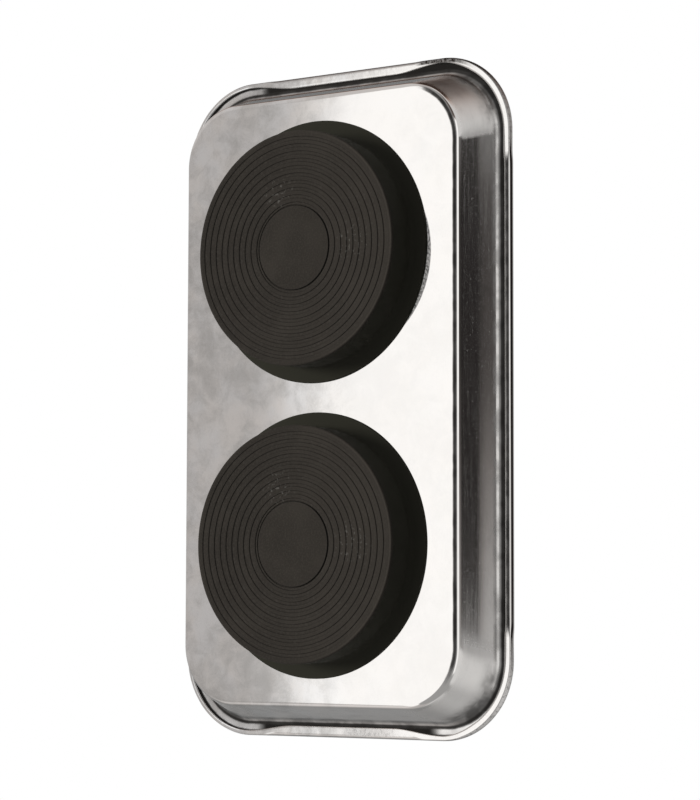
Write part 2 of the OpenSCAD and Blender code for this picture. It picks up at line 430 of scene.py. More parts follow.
# Where across the tray the wiped half of the floor ends, and where along it the rim's edge turns
# browner with its painted dark reflection, in metres
WIPED_END = (-0.012, 0.02)
BROWN_START = (0.112, 0.117)


def painted_reflection_masks(bench, spot, speckle):
    """The masks of the painted dark reflections: a cover's crescent and a corner's patch."""
    x, y, z = bench.split(spot)
    off = bench.vector("DISTANCE", bench.join(x, y), (COVER_REFLECTION.x, COVER_REFLECTION.y, 0.0))
    # Painted dark reflection of a cover's edge on the floor's underside
    cover_reflection = 1.0 - off.between(COVER_REFLECTION.radius - COVER_REFLECTION.soft, COVER_REFLECTION.radius)
    cover_reflection = cover_reflection * y.between(*COVER_REFLECTION.begins) * (1.0 - z.between(*COVER_REFLECTION.top))
    cover_reflection = cover_reflection * (0.72 + speckle.between(0.4, 0.65) * 0.28)
    # Painted dark reflection under one corner of the rim
    corner_reflection = y.between(*CORNER_REFLECTION.begins) * (1.0 - y.between(*CORNER_REFLECTION.ends))
    corner_reflection = corner_reflection * (1.0 - z.between(*CORNER_REFLECTION.top))
    bow = bench.join((x - CORNER_REFLECTION.x).math("MAXIMUM", 0.0), (y - CORNER_REFLECTION.y).math("MAXIMUM", 0.0))
    off = bench.vector("LENGTH", bow)
    return cover_reflection, corner_reflection * off.between(CORNER_REFLECTION.radius, CORNER_REFLECTION.radius + CORNER_REFLECTION.soft)


def stainless_sheet(finish):
    """Polished sheet: a wiped floor, drawn walls, a crushed hem, painted shade and soiling under
    the rim, and painted dark reflections.
    """
    material, bench, shader = new_material("Stainless sheet")
    spot = bench.place()
    x, y, _ = bench.split(spot)
    run, rise, wall, drawn, crush, grime, edge = [bench.attribute(name) for name in SHEET_VALUES]

    def followed(along, across, detail, roughness):
        """Noise that follows the rim, with its scales along it and across it."""
        return bench.noise(bench.join(run * along, rise * across), 1.0, detail, roughness)

    clouds = bench.noise(spot, 42.0, 3.0, 0.55)
    blotches = bench.noise(spot, 150.0, 4.0, 0.6, 0.5)
    hue = bench.noise(bench.vector("ADD", spot, (0.4, 0.2, 0.0)), 70.0, 3.0, 0.55)
    speckle = bench.noise(spot, 1300.0, 2.0, 0.7)
    brush = bench.noise(bench.vector("MULTIPLY", spot, (2600.0, 60.0, 300.0)), 1.0, 3.0, 0.7)
    grit = bench.noise(spot, 900.0, 3.0, 0.65)
    waves = bench.noise(spot, 24.0, 2.0, 0.45)
    pits = bench.noise(spot, 2800.0, 2.0, 0.6).between(0.58, 0.74) * wall
    streaks = followed(40.0, 1700.0, 3.0, 0.65)
    smears = followed(55.0, 160.0, 4.0, 0.6)
    flicker = followed(130.0, 160.0, 2.0, 0.6)
    flecks = followed(1100.0, 700.0, 2.0, 0.6)

    wiped = 1.0 - y.between(*WIPED_END) * 0.85
    mottle = (clouds - 0.5) * 0.7 + (blotches - 0.5) * 0.7 + (speckle - 0.5) * 0.2
    dull = mottle.between(-0.18, 0.22) * wiped
    dark = smears.between(0.5, 0.75) * wall * 0.2 + flecks.between(0.5, 0.62) * crush * 0.55
    grime = grime + (flicker.between(0.35, 0.65) - 0.5) * grime * (1.0 - grime) * 1.2
    cover_reflection, corner_reflection = painted_reflection_masks(bench, spot, speckle)
    tint = bench.layered(
        shade(finish.steel, 1.0, 0.985, 0.98),
        (shade(finish.steel, 0.985, 0.995, 1.02), hue.between(0.35, 0.65) * wiped),
        (shade(finish.steel, 0.66), dull * 0.9),
        (shade(finish.steel, 0.3), dark),
        # Painted dark reflection of a cover's edge
        (shade(finish.steel, 0.07), cover_reflection),
        # Tarnished outer edge, partly a painted dark reflection, browner towards one end
        (rgba(finish.tarnish_and_reflection), edge * (0.6 + x.between(*BROWN_START) * 0.35)),
        # Painted dark reflection under one corner
        (shade(finish.tarnish_and_reflection, 0.3), corner_reflection * (0.8 + flecks.between(0.4, 0.6) * 0.2)),
        # Painted shade with some soiling under the rim; painted dark reflections on the bend and
        # the fold
        (rgba(finish.grime), grime),
    )
    rough = finish.steel_roughness + dull * 0.025 + streaks.between(0.4, 0.75) * wall * 0.05
    rough = rough + drawn * 0.22 + wall * 0.03 + crush * 0.28 + grime * 0.4 + pits * 0.16
    height = waves * 7e-5 + brush * 1.2e-7 + streaks * wall * 3.0e-7 + grit * crush * 2.5e-5
    normal = bench.bump(height)
    wire(bench, shader, base_color=tint, metallic=1.0, roughness=rough, normal=normal)
    return material


# Where dust has settled on a cover's face: x, y and reach from the cover's middle, in metres
DUST_SPOTS = ((0.0, 0.025, 0.009), (0.02, -0.0065, 0.008))

# Soft edges of a cover's marks, in metres: the face's height, how far past the grooves their marks
# end, the lines of painted shade at a groove's edges and at the slit, the worn edge, and the dust
# by a groove
FACE_END = (0.4 * MM, 1.2 * MM)
RINGS_END = (0.3 * MM, 0.5 * MM)
GROOVE_SHADE_LINE = (0.04 * MM, 0.17 * MM)
SLIT_SHADE_LINE = (0.1 * MM, 0.3 * MM)
WORN_LINE = (0.1 * MM, 0.5 * MM)
DUST_END = 0.5 * MM


def black_rubber(finish, cover):
    """Moulded rubber: fine grain, painted shade along the groove edges and on the sides, painted
    light on one side of the face, and pale dust in places.
    """
    material, bench, shader = new_material("Black rubber")
    spot = bench.place()
    spun = bench.attribute("spun", "Vector")
    x, y, z = bench.split(spun)
    radius = bench.vector("LENGTH", bench.join(x, y))
    grain = bench.noise(spot, 1500.0, 3.0, 0.6)
    patches = bench.noise(spot, 60.0, 4.0, 0.55)
    scuffs = bench.noise(bench.vector("MULTIPLY", spot, (90.0, 420.0, 90.0)), 1.0, 3.0, 0.6)
    lathe = bench.noise(bench.join(radius * 2400.0), 1.0, 2.0, 0.6)
    specks = bench.noise(spot, 820.0, 2.0, 0.6).between(0.54, 0.68)

    face = 1.0 - z.between(*FACE_END)
    half = cover.groove_width / 2.0
    first = cover.groove_first - half
    last = cover.groove_first + (cover.groove_count - 1) * cover.groove_pitch + half
    near, far = RINGS_END
    ringed = radius.between(first - far, first - near)
    ringed = ringed * (1.0 - radius.between(last + near, last + far)) * face
    step = ((radius - cover.groove_first) / cover.groove_pitch + 0.5).math("FRACT") - 0.5
    off = abs(step) * cover.groove_pitch
    lines = (1.0 - abs(off - half).between(*GROOVE_SHADE_LINE)) * ringed
    slit = 1.0 - abs(radius - first).between(*SLIT_SHADE_LINE)
    worn = 1.0 - abs(radius - cover.face_radius + cover.face_edge).between(*WORN_LINE)
    settled = 0.12
    for spot_x, spot_y, reach in DUST_SPOTS:
        distance = bench.vector("DISTANCE", spun, (spot_x, spot_y, 0.0))
        settled = (1.0 - distance.between(reach * 0.3, reach)) + settled
    dusty = specks * settled.math("MINIMUM", 1.0)
    dusty = dusty * (1.0 - off.between(half, half + DUST_END)) * ringed
    film = patches.between(0.42, 0.7) * face

    tint = bench.layered(
        shade(finish.rubber, 0.72),
        (shade(finish.rubber, 0.98), film),
        (shade(finish.rubber, 1.35), lathe.between(0.4, 0.75) * ringed * 0.5),
    )
    # The sides: greener than the face, and darker as painted shade
    side = shade(finish.rubber, 0.82, 0.91, 0.8)
    tint = bench.layered(
        bench.blend(side, tint, face),
        (shade(finish.rubber, 1.45), grain.between(0.42, 0.68) * face * 0.5),
        # Painted light: the face made lighter towards one side
        (shade(finish.rubber, 1.4), face * y.between(-0.03, 0.035) * 0.38),
        (shade(finish.rubber, 1.9), worn * face * y.between(0.0, 0.03) * grain),
        # Painted shade along the groove edges and at the slit
        (shade(finish.rubber, 0.25), lines * 0.62 + slit * ringed * 0.35),
        (rgba(finish.dust), dusty * 0.28 + scuffs.between(0.62, 0.8) * film * 0.06),
    )
    rough = 0.68 + patches * 0.16 + dusty * 0.1
    normal = bench.bump(grain * 1.6e-5 + patches * 4e-5, 0.8)
    wire(bench, shader, base_color=tint, roughness=rough, normal=normal, specular_ior_level=0.12)
    return material


def zinc_plate(finish):
    """Dull zinc with the patches of its crystals."""
    material, bench, shader = new_material("Zinc plate")
    spot = bench.place()
    crystals = bench.add("ShaderNodeTexVoronoi", None, {"Vector": spot, "Scale": 420.0}, "Color")
    grain = bench.noise(spot, 700.0, 3.0, 0.6)
    level = bench.split(crystals)[0]
    tint = bench.blend(shade(finish.zinc, 0.8), rgba(finish.zinc), level)
    normal = bench.bump(grain * 1.2e-5, 0.6)
    rough = 0.34 + grain * 0.14
    wire(bench, shader, base_color=tint, metallic=1.0, roughness=rough, normal=normal)
    return material


def sintered_ferrite(finish):
    """Dark ceramic with a speckled, lightly ground surface."""
    material, bench, shader = new_material("Sintered ferrite")
    spot = bench.place()
    grain = bench.noise(spot, 1600.0, 3.0, 0.65)
    patches = bench.noise(spot, 120.0, 3.0, 0.5)
    tint = bench.blend(shade(finish.ferrite, 0.7), shade(finish.ferrite, 1.4), grain)
    normal = bench.bump(grain * 2e-5, 0.7)
    wire(bench, shader, base_color=tint, roughness=0.5 + patches * 0.25, normal=normal)
    return material


def bright_plating(finish):
    """Bright plating with fine turning marks round each head."""
    material, bench, shader = new_material("Bright plating")
    reach = bench.attribute("reach")
    rings = bench.noise(bench.join(reach * 5200.0), 1.0, 2.0, 0.6)
    patches = bench.noise(bench.place(), 300.0, 3.0, 0.6)
    worn = patches.between(0.35, 0.6)
    tint = bench.blend(shade(finish.plating, 0.78), rgba(finish.plating), worn)
    normal = bench.bump(rings * 3e-6, 0.5)
    rough = 0.16 + patches * 0.14
    wire(bench, shader, base_color=tint, metallic=1.0, roughness=rough, normal=normal)
    return material


# Shapes


def arc(centre, radius, start, end, steps):
    """Points on an arc, with its angles in degrees."""
    points = []
    for i in range(steps + 1):
        angle = math.radians(start + (end - start) * i / steps)
        points.append((centre[0] + radius * math.cos(angle), centre[1] + radius * math.sin(angle)))
    return points


def inside_run(first, last, count):
    """Points evenly inside a straight run, without its ends."""
    points = []
    for i in range(1, count + 1):
        t = i / (count + 1)
        points.append((first[0] + (last[0] - first[0]) * t, first[1] + (last[1] - first[1]) * t))
    return points


def bowed(start, pull, end, t):
    """A point on the curve from start to end that is drawn towards pull."""
    return start * (1 - t) ** 2 + pull * (2 * t * (1 - t)) + end * t ** 2


def rounded(corners, cuts, steps=4):
    """A line through corners, each rounded off over its cut length."""
    points = [corners[0]]
    for before, corner, after, cut in zip(corners, corners[1:], corners[2:], cuts):
        if cut <= 0.0:
            points.append(corner)
            continue
        middle = Vector(corner)
        start = middle + (Vector(before) - middle).normalized() * cut
        end = middle + (Vector(after) - middle).normalized() * cut
        points += [tuple(bowed(start, middle, end, i / steps)) for i in range(steps + 1)]
    points.append(corners[-1])
    return points


def soft_step(value):
    """A smooth rise from 0 to 1."""
    t = min(1.0, max(0.0, value))
    return t * t * (3.0 - 2.0 * t)


def finished(name, mesh, material=None):
    """Puts a mesh into the scene as one welded piece, smooth but for its sharp edges."""
    bm = bmesh.new()
    bm.from_mesh(mesh)
    bmesh.ops.remove_doubles(bm, verts=bm.verts, dist=WELD)
    bmesh.ops.dissolve_degenerate(bm, edges=bm.edges, dist=WELD / 10.0)
    bmesh.ops.recalc_face_normals(bm, faces=bm.faces)
    for face in bm.faces:
        face.smooth = True
    for edge in bm.edges:
        edge.smooth = len(edge.link_faces) == 2 and edge.calc_face_angle(0.0) < SMOOTH_ANGLE
    bm.to_mesh(mesh)
    bm.free()
    mesh.name = name
    if material is not None:
        mesh.materials.clear()
        mesh.materials.append(material)
    piece = bpy.data.objects.new(name, mesh)
    bpy.context.scene.collection.objects.link(piece)
    return piece


def closed_mesh(name, bm):
    """A plain mesh of a closed shape, facing outwards."""
    bmesh.ops.recalc_face_normals(bm, faces=bm.faces)
    mesh = bpy.data.meshes.new(name)
    bm.to_mesh(mesh)
    bm.free()
    return mesh


def keep_values(mesh, name, values):
    """Stores one value for each vertex."""
    layer = mesh.attributes.new(name, "FLOAT", "POINT")
    layer.data.foreach_set("value", values)


def geometry_tree(name, inputs):
    """A Geometry Nodes tree with its named inputs, its bench, and the flow of those inputs."""
    tree = bpy.data.node_groups.new(name, "GeometryNodeTree")
    tree.interface.new_socket("Geometry", in_out="INPUT", socket_type="NodeSocketGeometry")
    for label, kind in inputs.items():
        tree.interface.new_socket(label, in_out="INPUT", socket_type="NodeSocket" + kind)
    tree.interface.new_socket("Geometry", in_out="OUTPUT", socket_type="NodeSocketGeometry")
    bench = Bench(tree)
    return tree, bench, bench.add("NodeGroupInput")


def close_tree(bench, geometry, material):
    """Ends a tree with real meshes that carry their material."""
    real = bench.add("GeometryNodeRealizeInstances", None, {"Geometry": geometry})
    inputs = {"Geometry": real, "Material": material}
    dressed = bench.add("GeometryNodeSetMaterial", None, inputs)
    bench.add("NodeGroupOutput", None, {"Geometry": dressed})


def grown(mesh, tree, values):
    """Runs a tree on a mesh and returns the plain mesh that it makes."""
    source = bpy.data.objects.new(tree.name, mesh)
    bpy.context.scene.collection.objects.link(source)
    modifier = source.modifiers.new(tree.name, "NODES")
    modifier.node_group = tree
    for item in tree.interface.items_tree:
        if item.item_type == "SOCKET" and item.in_out == "INPUT" and item.name in values:
            modifier[item.identifier] = values[item.name]
    evaluated = source.evaluated_get(bpy.context.evaluated_depsgraph_get())
    result = bpy.data.meshes.new_from_object(evaluated)
    source.modifiers.clear()
    bpy.data.objects.remove(source)
    bpy.data.meshes.remove(mesh)
    if not result.polygons:
        raise RuntimeError(tree.name + " made no faces")
    return result


# The pan


# A place on the rim's path: the centre and angle of its section, the lip's reach, how crushed the
# hem is, the run so far, and from 0 to 1 how far it is inside a corner, near one with its square
# hem, left without painted shade on the flange, and satin
Station = namedtuple("Station", "x y angle lip crush run corner near bare satin")

# A point of the sheet's section: its reach and height, and from 0 to 1 what lies on it
SectionPoint = namedtuple("SectionPoint", "r z wall hem grime edge")
WallLines = namedtuple(
    "WallLines", "outer_low outer_wall outer_high inner_high inner_wall inner_low"
)
Section = namedtuple("Section", "dish rim")

# Stations on each straight run, from the middle of the near long side on, and in each corner
SIDE_STEPS = (38, 112, 152, 112, 38)
CORNER_STEPS = 84

Patch = namedtuple("Patch", "middle half fade")
# A crushed patch on the hem of each short side, across the tray in metres
HEM_PATCH = Patch(0.012, 0.006, 0.008)

# Facets of the section's rounds, from the floor's bend up and out to the crown, and of a dimple
BEND_STEPS, INNER_BEND_STEPS = 10, 6
CREASE_STEPS, CURL_STEPS = 6, 6
NECK_STEPS = 16
ROLL_STEPS, INNER_FOLD_STEPS = 8, 6
LIP_STEPS, FOLD_STEPS, CROWN_STEPS = 6, 10, 12
DIMPLE_SEGMENTS = 72

# Flat strips of the floor beside its bend and round a dimple, the slope of a dimple's side, and the
# length over which its bends are rounded
FLOOR_HOLD = 1.2 * MM
BEND_HOLD = 0.3 * MM
DIMPLE_HOLD = 0.8 * MM
DIMPLE_SLOPE = math.radians(45.0)
DIMPLE_CUT = 0.5 * MM

# The length over which the wall's crease is rounded, the least radius inside the fold, the seed of
# the hem's wrinkles, and the way round the rim that its tarnished edge, partly a painted dark
# reflection, faces
CREASE_CUT = 1.0 * MM
INNER_FOLD = 0.06 * MM
HEM_SEED = 3.7
DARK_EDGE_TOWARD = math.radians(35.0)


def corner_centre(pan):
    """The centre of the rim's corner at the positive ends of both axes."""
    return pan.length / 2.0 - pan.corner_radius, pan.width / 2.0 - pan.corner_radius


def turned_reach(pan, angle):
    """The lip's reach in a corner, which grows towards the far long side."""
    grown_share = soft_step(math.sin(angle) / 0.55)
    return pan.corner_lip + (pan.turned_lip - pan.corner_lip) * grown_share


def unshaded_flange(x, y):
    """1 where the flange is left without painted shade, and 0 in the quarter where it takes it."""
    return 0.0 if x > 0.0 and y > 0.0 else 1.0


def side_stations(pan, start, end, degrees, run, steps, short):
    """Stations on a straight side, whose lip and hem change towards the corners."""
    half_x, half_y = corner_centre(pan)
    angle = math.radians(degrees)
    lip = pan.short_lip if short else pan.long_lip
    end_lip = turned_reach(pan, angle)
    span = (Vector(end) - Vector(start)).length
    stations = []
    for i in range(steps):
        t = i / steps
        place = Vector(start).lerp(Vector(end), t)
        gap = half_y - abs(place.y) if short else half_x - abs(place.x)
        away = soft_step((gap - pan.flat_end) / pan.turn_taper)
        reach = end_lip + (lip - end_lip) * (soft_step(gap / pan.lip_taper) if short else away)
        crush = 1.0 - soft_step(gap / (pan.lip_taper * 0.5))
        if short:
            off = abs(place.y - HEM_PATCH.middle) - HEM_PATCH.half
            patch = 1.0 - soft_step(off / HEM_PATCH.fade)
            crush = max(crush * 0.8, 0.12 + 0.5 * patch * (1.0 if place.x < 0.0 else 0.2))
        bare = (1.0 - soft_step(gap / pan.flat_end)) * unshaded_flange(place.x, place.y)
        satin = 1.0 - soft_step(gap / (pan.satin_end * (1.0 if place.x < 0.0 else 0.15)))
        stations.append(Station(
            place.x, place.y, angle, lip=reach, crush=crush, run=run + span * t,
            corner=0.0, near=1.0 - away, bare=bare, satin=satin,
        ))
    return stations


def corner_stations(pan, x, y, degrees, run):
    """Stations round a corner, whose hem is pressed square and crushed throughout."""
    span = math.pi / 2.0 * pan.corner_radius
    stations = []
    for i in range(CORNER_STEPS):
        t = i / CORNER_STEPS
        angle = math.radians(degrees + 90.0 * t)
        stations.append(Station(
            x, y, angle, lip=turned_reach(pan, angle), crush=1.0, run=run + span * t,
            corner=soft_step(min(t, 1.0 - t) / 0.22), near=1.0, bare=unshaded_flange(x, y), satin=1.0,
        ))
    return stations


def rim_stations(pan):
    """Stations round the tray, from the middle of the near long side and back to it."""
    half_x, half_y = corner_centre(pan)
    middle = (0.0, -half_y)
    corners = ((half_x, -half_y), (half_x, half_y), (-half_x, half_y), (-half_x, -half_y))
    stations = []
    start = middle
    run = 0.0
    for i, (end, steps) in enumerate(zip(corners + (middle,), SIDE_STEPS)):
        degrees = (270.0 + 90.0 * i) % 360.0
        stations += side_stations(pan, start, end, degrees, run, steps, i % 2 == 1)
        run += (Vector(end) - Vector(start)).length
        if end in corners:
            stations += corner_stations(pan, *end, degrees, run)
            run += math.pi / 2.0 * pan.corner_radius
        start = end
    return stations


class SheetForm:
    """Where the rounds of the sheet's section lie at one station, and how its wall leans."""

    def __init__(self, pan, station):
        self.wall_break = pan.wall_break * (1.0 - station.corner)
        self.wall_curl = pan.wall_curl * (1.0 - station.corner)
        lean = math.degrees(pan.wall_lean)
        self.low_lean = lean - math.degrees(self.wall_break)
        self.high_lean = lean + math.degrees(self.wall_break + self.wall_curl)
        self.height = pan.rim_top - pan.floor_under
        self.neck = (pan.corner_radius - pan.rim_width, self.height - pan.sheet - pan.neck_radius)
        wall_low = pan.bend_radius * (1.0 - math.sin(pan.wall_lean))
        self.wall_high = self.neck[1] + pan.neck_radius * math.sin(pan.wall_lean)
        self.floor_r = self.neck[0] - (pan.neck_radius + pan.bend_radius) * math.cos(pan.wall_lean)
        self.floor_r -= (self.wall_high - wall_low) * math.tan(pan.wall_lean)
        self.bend = (self.floor_r, pan.bend_radius)
        deep = 2.0 * pan.roll_radius
        lean_sin = math.sin(pan.skirt_lean)
        lean_cos = math.cos(pan.skirt_lean)
        self.skirt_lean = math.degrees(pan.skirt_lean)
        self.fold_radius = pan.fold_radius + (pan.corner_fold - pan.fold_radius) * station.near
        left = deep - self.fold_radius * (1.0 - lean_sin) - pan.skirt * lean_cos
        self.crown_radius = left / (1.0 + lean_sin)
        self.crown = (pan.corner_radius - self.crown_radius, self.height - self.crown_radius)
        shift = (self.crown_radius - self.fold_radius) * lean_cos
        self.under = self.height - deep
        self.fold = (self.crown[0] + shift - pan.skirt * lean_sin, self.under + self.fold_radius)


class SheetLine(list):
    """The points of one section, in order."""

    def put(self, line, wall=0.0, hem=0.0, grime=0.0, edge=0.0):
        """Adds points that share what lies on them."""
        self.extend(SectionPoint(r, z, wall, hem, grime, edge) for r, z in line)


def bend_dark_reflection(angle):
    """A painted dark reflection on the floor's bend: most on one long side, and further round one
    corner.
    """
    facing = math.sin(angle)
    if math.cos(angle) > 0.0:
        return soft_step((facing - 0.2) / 0.4)
    return soft_step((facing - 0.75) / 0.25)


def wall_top_shade(station, form, place):
    """Painted shade high on a corner's wall, more of it towards the tray's ends."""
    amount = 0.25 + 0.53 * abs(math.cos(station.angle))
    return amount * station.corner * soft_step((place[1] / form.wall_high - 0.62) / 0.38)


def fold_dark_reflection(station):
    """A painted dark reflection on the fold of the round hem, on the far long side."""
    return (1.0 - station.near) * soft_step(math.sin(station.angle))


def wall_run(pan, form, low, high):
    """One face of a wall without its ends: a slight crease halfway up, and a curl above it."""
    lower = Vector(low)
    upper = Vector(high)
    half = (upper - lower).length / 2.0
    inward = Vector((-math.cos(pan.wall_lean), math.sin(pan.wall_lean)))
    crease = lower.lerp(upper, 0.5) + inward * half * math.tan(form.wall_break)
    pull = crease.lerp(upper, 0.5) + inward * half / 2.0 * math.tan(form.wall_curl)
    curl = [tuple(bowed(crease, pull, upper, i / CURL_STEPS)) for i in range(1, CURL_STEPS)]
    turned = rounded([low, tuple(crease), curl[0]], [CREASE_CUT], CREASE_STEPS)[1:-1]
    return inside_run(low, turned[0], 3) + turned + curl


def wall_lines(pan, form):
    """Both faces of the wall with the bends at its foot and its neck."""
    neck_angle = 180.0 - form.high_lean
    inner_bend = pan.bend_radius - pan.sheet
    outer_low = arc(form.bend, pan.bend_radius, -90.0, -form.low_lean, BEND_STEPS)
    outer_high = arc(form.neck, pan.neck_radius, neck_angle, 90.0, NECK_STEPS)
    inner_high = arc(form.neck, pan.neck_radius + pan.sheet, 90.0, neck_angle, NECK_STEPS)
    inner_low = arc(form.bend, inner_bend, -form.low_lean, -90.0, INNER_BEND_STEPS)
    outer_wall = wall_run(pan, form, outer_low[-1], outer_high[0])
    inner_wall = wall_run(pan, form, inner_low[0], inner_high[-1])
    return WallLines(outer_low, outer_wall, outer_high, inner_high, inner_wall, inner_low)


def dish_section(pan, station, form, lines):
    """From the floor's underside up the wall's outside, and down its inside to the floor's top."""
    dish = SheetLine()
    dish.put([(form.floor_r - FLOOR_HOLD, 0.0), (form.floor_r - BEND_HOLD, 0.0)])
    # Painted dark reflection along the middle of the floor's bend
    shading = 0.93 * bend_dark_reflection(station.angle)
    for i, place in enumerate(lines.outer_low):
        begins = soft_step((i + 1.0) / 1.8)
        ends = soft_step((i - 4.2) / 1.6)
        dish.put([place], grime=shading * begins * (1.0 - ends))
    for place in lines.outer_wall:
        dish.put([place], wall=1.0, grime=wall_top_shade(station, form, place))
    dish.put(reversed(lines.inner_wall), wall=1.0)
    dish.put(lines.inner_low)
    dish.put([(form.floor_r - FLOOR_HOLD, pan.sheet)])
    return dish


def put_neck(rim, station, form, lines):
    """Adds the wall's top edge and the neck, with painted shade and some soiling under the flange.
    """
    top = lines.outer_wall[-1]
    rim.put([top], wall=1.0, grime=wall_top_shade(station, form, top))
    # Painted shade: dims the neck's lit part, then darkens the neck and the flange's underside
    bright = 0.45 + 0.35 * station.corner * abs(math.cos(station.angle))
    flange = 1.0 - 0.85 * station.bare
    for i, place in enumerate(lines.outer_high):
        t = i / NECK_STEPS
        dark = bright + (0.97 - bright) * soft_step((t - 0.46) / 0.2)
        rim.put([place], grime=dark + (flange - dark) * soft_step((t - 0.8) / 0.2))
    return flange


def put_lip(rim, pan, station, form):
    """Adds the folded lip: in along its top, round its edge and out along its underside."""
    half = pan.sheet / 2.0
    end = pan.corner_radius - pan.roll_radius - station.lip + half
    flat = 1.0 - 0.9 * station.near
    root = form.fold[0]
    top = form.under + pan.sheet
    # Painted shade with some soiling on the lip's top and round its edge; a painted dark reflection
    # under it
    rim.put(inside_run((root, top), (end, top), 2), hem=flat, grime=1.0)
    for i, place in enumerate(arc((end, form.under + half), half, 90.0, 270.0, LIP_STEPS)):
        rim.put([place], hem=flat, grime=1.0 - soft_step((i - 1) / 4.0))
    underside = inside_run((end, form.under), (root, form.under), 3)
    rim.put(underside, hem=flat, grime=0.75 * fold_dark_reflection(station))
    return flat


def rim_section(pan, station, form, lines):
    """From the wall's top edge under the flange, round the rolled hem and back over the top."""
    rim = SheetLine()
    flange = put_neck(rim, station, form, lines)
    inner_fold = max(form.fold_radius - pan.sheet, INNER_FOLD)
    inner_centre = (form.fold[0], form.under + pan.sheet + inner_fold)
    inner_crown = form.crown_radius - pan.sheet
    inner_roll = arc(form.crown, inner_crown, 90.0, -form.skirt_lean, ROLL_STEPS)
    inner_roll += arc(inner_centre, inner_fold, -form.skirt_lean, -90.0, INNER_FOLD_STEPS)
    # Painted shade with some soiling on the flange's underside and inside the roll
    rim.put(inside_run(lines.outer_high[-1], inner_roll[0], 2), grime=flange)
    rim.put(inner_roll, hem=0.6, grime=1.0)
    flat = put_lip(rim, pan, station, form)
    ahead = max(0.0, math.cos(station.angle))
    outer_fold = arc(form.fold, form.fold_radius, -90.0, -form.skirt_lean, FOLD_STEPS)
    for i, place in enumerate(outer_fold):
        outer = soft_step((i - 2) / 5.0)
        hem = flat * (1.0 - outer) * (1.0 - station.near) + outer * station.near
        # Painted dark reflection on the inner part of the fold
        dark = 0.92 * fold_dark_reflection(station) * (1.0 - soft_step((i - 4.0) / 2.0))
        # The tarnished outer edge, partly a painted dark reflection, reaches further round the fold
        # at one end
        edge = soft_step((i - 5.0 + 5.0 * ahead) / (4.0 + 3.0 * ahead))
        rim.put([place], hem=hem, grime=dark, edge=edge)
    outer_crown = arc(form.crown, form.crown_radius, -form.skirt_lean, 90.0, CROWN_STEPS)
    for i, place in enumerate(outer_crown):
        hem = station.near * (1.0 - soft_step((i - 2) / 6.0))
        rim.put([place], hem=hem, edge=1.0 - soft_step((i - 4) / 5.0))
    rim.put(inside_run(outer_crown[-1], lines.inner_high[0], 2))
    rim.put(lines.inner_high)
    rim.put(lines.inner_wall[-1:], wall=1.0)
    return rim


def pan_section(pan, station):
    """The sheet's section at one station: the dish, open at the floor, and the rim above it."""
    form = SheetForm(pan, station)
    lines = wall_lines(pan, form)
    return Section(
        dish_section(pan, station, form, lines), rim_section(pan, station, form, lines)
    )


def dimple_rings(pan):
    """Radius and height of the rings of a screw dimple, from the floor's underside to its top."""
    foot = pan.dimple_radius
    deep = -pan.dimple_depth
    top = foot + pan.dimple_depth
    sheet = pan.sheet
    shift = sheet * math.tan(DIMPLE_SLOPE / 2.0)
    hole = pan.hole_radius
    rim = top + DIMPLE_HOLD
    under = [(rim, 0.0), (top, 0.0), (foot, deep), (hole, deep)]
    over = [(hole, deep + sheet), (foot - shift, deep + sheet), (top - shift, sheet), (rim, sheet)]
    cuts = [DIMPLE_CUT, DIMPLE_CUT]
    return rounded(under, cuts) + rounded(over, cuts)


def floor_fill(points, loops, holes):
    """Triangles between loops of points, leaving out round holes given as (x, y, radius)."""
    edges = []
    for loop in loops:
        edges += list(zip(loop, loop[1:] + loop[:1]))
    flat = [Vector(point) for point in points]
    made, _, faces, origin, _, _ = delaunay_2d_cdt(flat, edges, [], 1, 1e-8)
    if len(made) != len(points):
        raise RuntimeError("the floor's outline crosses itself")
    triangles = []
    for face in faces:
        middle = sum((made[i] for i in face), Vector((0.0, 0.0))) / len(face)
        if all(math.hypot(middle.x - x, middle.y - y) > radius for x, y, radius in holes):
            triangles.append([origin[i][0] for i in face])
    return triangles


def swept(pan, stations, sections, closed):
    """Vertices, faces and kept values of a section that is carried round the stations."""
    half_x, half_y = corner_centre(pan)
    height = pan.rim_top - pan.floor_under - pan.sheet
    vertices = []
    values = {name: [] for name in SHEET_VALUES}
    for station, section in zip(stations, sections):
        # The tarnished outer edge, partly a painted dark reflection, fades out away from
        # DARK_EDGE_TOWARD
        facing = soft_step(0.15 + math.cos(station.angle - DARK_EDGE_TOWARD))
        rise = 0.0
        last = section[0]
        for point in section:
            rise += math.hypot(point.r - last.r, point.z - last.z)
            last = point
            ease = pan.corner_ease * max(0.0, 1.0 - point.z / height)
            x = station.x * (1.0 - ease / half_x) + (point.r + ease) * math.cos(station.angle)
            y = station.y * (1.0 - ease / half_y) + (point.r + ease) * math.sin(station.angle)
            vertices.append((x, y, pan.floor_under + point.z))
            kept = (
                station.run, rise, point.wall, point.wall * station.satin,
                point.hem * station.crush, point.grime, point.edge * facing,
            )
            for name, value in zip(SHEET_VALUES, kept):
                values[name].append(value)
    faces = []
    count = len(sections[0])
    for j in range(len(stations)):
        here = j * count
        there = (j + 1) % len(stations) * count
        for i in range(count if closed else count - 1):
            after = (i + 1) % count
            faces.append((here + i, there + i, there + after, here + after))
    return vertices, faces, values


def sheet_mesh(name, vertices, faces, values):
    """A mesh with the sheet's values kept on its points, and 0 on points that have none."""
    mesh = bpy.data.meshes.new(name)
    mesh.from_pydata(vertices, [], faces)
    for label, kept in values.items():
        keep_values(mesh, label, kept + [0.0] * (len(vertices) - len(kept)))
    return mesh


